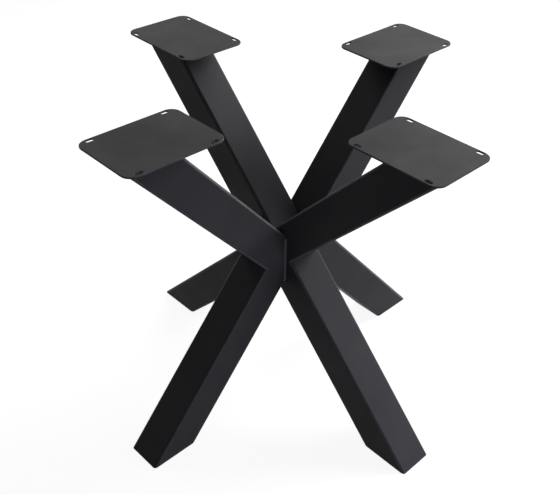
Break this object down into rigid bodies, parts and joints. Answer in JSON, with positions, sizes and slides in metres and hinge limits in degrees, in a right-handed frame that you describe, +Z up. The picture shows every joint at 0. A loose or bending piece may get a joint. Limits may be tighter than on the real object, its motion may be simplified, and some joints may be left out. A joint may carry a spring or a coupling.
{
  "type": "x-shaped table base",
  "caption": "Black steel X-shaped table base of crossed square tubes, with slotted top plates on the upper arms to screw to a table top and legs cut level for the floor.",
  "frame": {"origin": "on the floor, under the crossing of the tubes", "axes": "+Z up; the flat X frame lies along Y and the V frames lie along X, so each limb lies along an axis"},
  "size_m": [0.82, 0.82, 0.72],
  "materials": {
    "powder_coat": "satin black powder coat with a fine texture"
  },
  "bodies": {
    "root": {"back_left_arm": "powder_coat", "back_left_foot_plate": "powder_coat", "back_left_leg": "powder_coat", "back_left_top_plate": "powder_coat", "back_right_arm": "powder_coat", "back_right_foot_plate": "powder_coat", "back_right_leg": "powder_coat", "back_right_top_plate": "powder_coat", "back_right_weld_left": "powder_coat", "back_right_weld_right": "powder_coat", "front_left_arm": "powder_coat", "front_left_foot_plate": "powder_coat", "front_left_leg": "powder_coat", "front_left_top_plate": "powder_coat", "front_left_weld_left": "powder_coat", "front_left_weld_right": "powder_coat", "front_right_arm": "powder_coat", "front_right_foot_plate": "powder_coat", "front_right_leg": "powder_coat", "front_right_top_plate": "powder_coat"}
  },
  "joints": []
}
